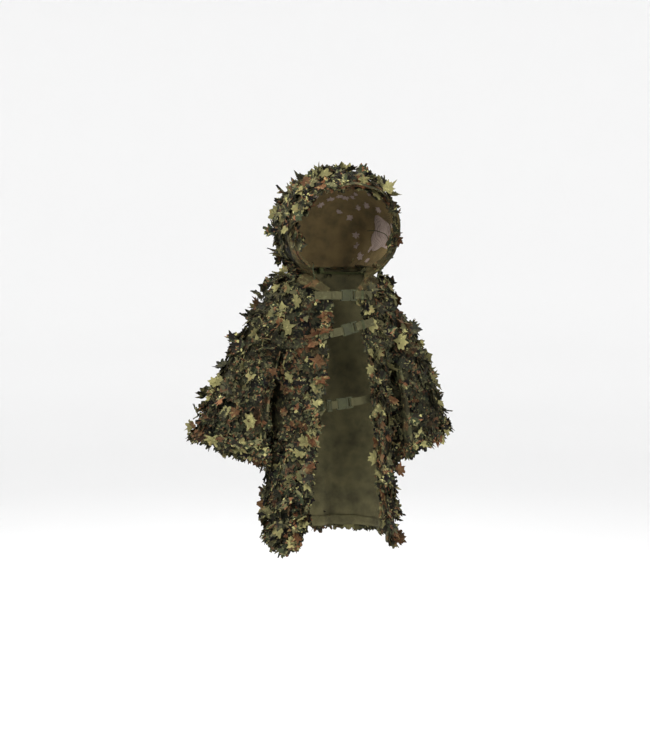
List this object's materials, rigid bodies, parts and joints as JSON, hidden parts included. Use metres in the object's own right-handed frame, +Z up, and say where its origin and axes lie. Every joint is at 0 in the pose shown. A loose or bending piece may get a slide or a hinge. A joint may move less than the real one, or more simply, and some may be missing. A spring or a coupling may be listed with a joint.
{
  "type": "ghillie suit",
  "caption": "Hooded leaf-cut camouflage over-jacket with bell sleeves, an open front, skirt flaps and side release buckle straps.",
  "frame": {"origin": "centre of the hang loop's hole inside the back of the neck", "axes": "+Z up, the wearer faces -Y, +X is the wearer's left"},
  "size_m": [0.8692, 0.3708, 1.2065],
  "materials": {
    "leaf_cloth": "matte spotted camouflage polyester with laser-cut leaves sewn on",
    "plain_cloth": "matte ripstop camouflage polyester",
    "mesh_cloth": "thin olive knitted mesh",
    "webbing": "woven olive nylon webbing",
    "elastic": "ribbed olive elastic",
    "cord": "braided olive cord",
    "buckle_plastic": "satin moulded olive plastic"
  },
  "bodies": {
    "jacket": {"hang_loop": "webbing", "neck_tape": "webbing", "back_cover": "leaf_cloth", "back_lining": "mesh_cloth", "front_cover_left": "leaf_cloth", "front_cover_right": "leaf_cloth", "front_lining_left": "mesh_cloth", "front_lining_right": "mesh_cloth", "front_facing_left": "plain_cloth", "front_facing_right": "plain_cloth", "collar_band_left": "plain_cloth", "collar_band_right": "plain_cloth", "top_web_right": "webbing", "top_web_left": "webbing", "top_buckle_socket": "buckle_plastic", "second_web_right": "webbing", "second_web_left": "webbing", "second_buckle_socket": "buckle_plastic", "waist_web_right": "webbing", "waist_web_left": "webbing", "waist_buckle_socket": "buckle_plastic"},
    "hood": {"hood_cover": "leaf_cloth", "hood_lining": "mesh_cloth", "hood_rim_channel": "plain_cloth", "hood_brim": "plain_cloth", "hood_drawcord": "cord"},
    "sleeve_left": {"sleeve_cover_left": "leaf_cloth", "sleeve_lining_left": "mesh_cloth", "sleeve_hem_left": "plain_cloth"},
    "sleeve_right": {"sleeve_cover_right": "leaf_cloth", "sleeve_lining_right": "mesh_cloth", "sleeve_hem_right": "plain_cloth"},
    "flap_left": {"flap_cover_left": "leaf_cloth", "flap_lining_left": "mesh_cloth", "flap_facing_left": "plain_cloth"},
    "flap_right": {"flap_cover_right": "leaf_cloth", "flap_lining_right": "mesh_cloth", "flap_facing_right": "plain_cloth"},
    "tail": {"tail_cover": "leaf_cloth", "tail_lining": "mesh_cloth", "tail_hem": "plain_cloth"},
    "top_plug": {"top_buckle_plug": "buckle_plastic"},
    "top_prong_upper": {"top_prong_upper": "buckle_plastic"},
    "top_prong_lower": {"top_prong_lower": "buckle_plastic"},
    "top_keeper": {"top_keeper": "elastic"},
    "second_plug": {"second_buckle_plug": "buckle_plastic"},
    "second_prong_upper": {"second_prong_upper": "buckle_plastic"},
    "second_prong_lower": {"second_prong_lower": "buckle_plastic"},
    "second_keeper": {"second_keeper": "elastic"},
    "waist_plug": {"waist_buckle_plug": "buckle_plastic"},
    "waist_prong_upper": {"waist_prong_upper": "buckle_plastic"},
    "waist_prong_lower": {"waist_prong_lower": "buckle_plastic"},
    "waist_slider": {"waist_slider": "buckle_plastic"}
  },
  "joints": [
    {"name": "hood_fold", "type": "hinge", "parent": "jacket", "child": "hood", "pos_m": [0, 0.026, -0.022], "axis": [-1, 0, 0], "range_deg": [0, 95]},
    {"name": "sleeve_left_lift", "type": "hinge", "parent": "jacket", "child": "sleeve_left", "pos_m": [0.202, -0.078, -0.056], "axis": [0, -1, 0], "range_deg": [0, 45]},
    {"name": "sleeve_right_lift", "type": "hinge", "parent": "jacket", "child": "sleeve_right", "pos_m": [-0.202, -0.078, -0.056], "axis": [0, 1, 0], "range_deg": [0, 45]},
    {"name": "flap_left_swing", "type": "hinge", "parent": "jacket", "child": "flap_left", "pos_m": [0, -0.214, -0.452], "axis": [-1, 0, 0], "range_deg": [0, 35]},
    {"name": "flap_right_swing", "type": "hinge", "parent": "jacket", "child": "flap_right", "pos_m": [0, -0.214, -0.452], "axis": [-1, 0, 0], "range_deg": [0, 35]},
    {"name": "tail_swing", "type": "hinge", "parent": "jacket", "child": "tail", "pos_m": [0, 0.069, -0.452], "axis": [1, 0, 0], "range_deg": [0, 40]},
    {"name": "top_buckle_release", "type": "slide", "parent": "jacket", "child": "top_plug", "axis": [1, 0, 0], "range_m": [0, 0.026], "deforming": ["top_web_left", "top_prong_upper", "top_prong_lower"]},
    {"name": "top_prong_upper_press", "type": "hinge", "parent": "top_plug", "child": "top_prong_upper", "pos_m": [0.0034, -0.229, -0.0654], "axis": [0, -1, 0], "range_deg": [0, 12]},
    {"name": "top_prong_lower_press", "type": "hinge", "parent": "top_plug", "child": "top_prong_lower", "pos_m": [0.0034, -0.229, -0.0866], "axis": [0, 1, 0], "range_deg": [0, 12]},
    {"name": "top_keeper_shift", "type": "slide", "parent": "top_plug", "child": "top_keeper", "axis": [1, 0, 0], "range_m": [0, 0.008]},
    {"name": "second_buckle_release", "type": "slide", "parent": "jacket", "child": "second_plug", "axis": [0.9703, 0, 0.2419], "range_m": [0, 0.026], "deforming": ["second_web_left", "second_prong_upper", "second_prong_lower"]},
    {"name": "second_prong_upper_press", "type": "hinge", "parent": "second_plug", "child": "second_prong_upper", "pos_m": [0.00073, -0.238, -0.16889], "axis": [0, -1, 0], "range_deg": [0, 12]},
    {"name": "second_prong_lower_press", "type": "hinge", "parent": "second_plug", "child": "second_prong_lower", "pos_m": [0.00586, -0.238, -0.18946], "axis": [0, 1, 0], "range_deg": [0, 12]},
    {"name": "second_keeper_shift", "type": "slide", "parent": "second_plug", "child": "second_keeper", "axis": [0.9703, 0, 0.2419], "range_m": [0, 0.008]},
    {"name": "waist_buckle_release", "type": "slide", "parent": "jacket", "child": "waist_plug", "axis": [0.9945, 0, 0.1045], "range_m": [0, 0.026], "deforming": ["waist_web_left", "waist_prong_upper", "waist_prong_lower"]},
    {"name": "waist_prong_upper_press", "type": "hinge", "parent": "waist_plug", "child": "waist_prong_upper", "pos_m": [0.00227, -0.196, -0.4071], "axis": [0, -1, 0], "range_deg": [0, 12]},
    {"name": "waist_prong_lower_press", "type": "hinge", "parent": "waist_plug", "child": "waist_prong_lower", "pos_m": [0.00449, -0.196, -0.42819], "axis": [0, 1, 0], "range_deg": [0, 12]},
    {"name": "waist_slider_shift", "type": "slide", "parent": "jacket", "child": "waist_slider", "axis": [0.9945, 0, 0.1045], "range_m": [-0.003, 0.002]}
  ],
  "couplings": [
    {"joint": "top_prong_lower_press", "follows": "top_prong_upper_press", "ratio": 1},
    {"joint": "second_prong_lower_press", "follows": "second_prong_upper_press", "ratio": 1},
    {"joint": "waist_prong_lower_press", "follows": "waist_prong_upper_press", "ratio": 1}
  ]
}
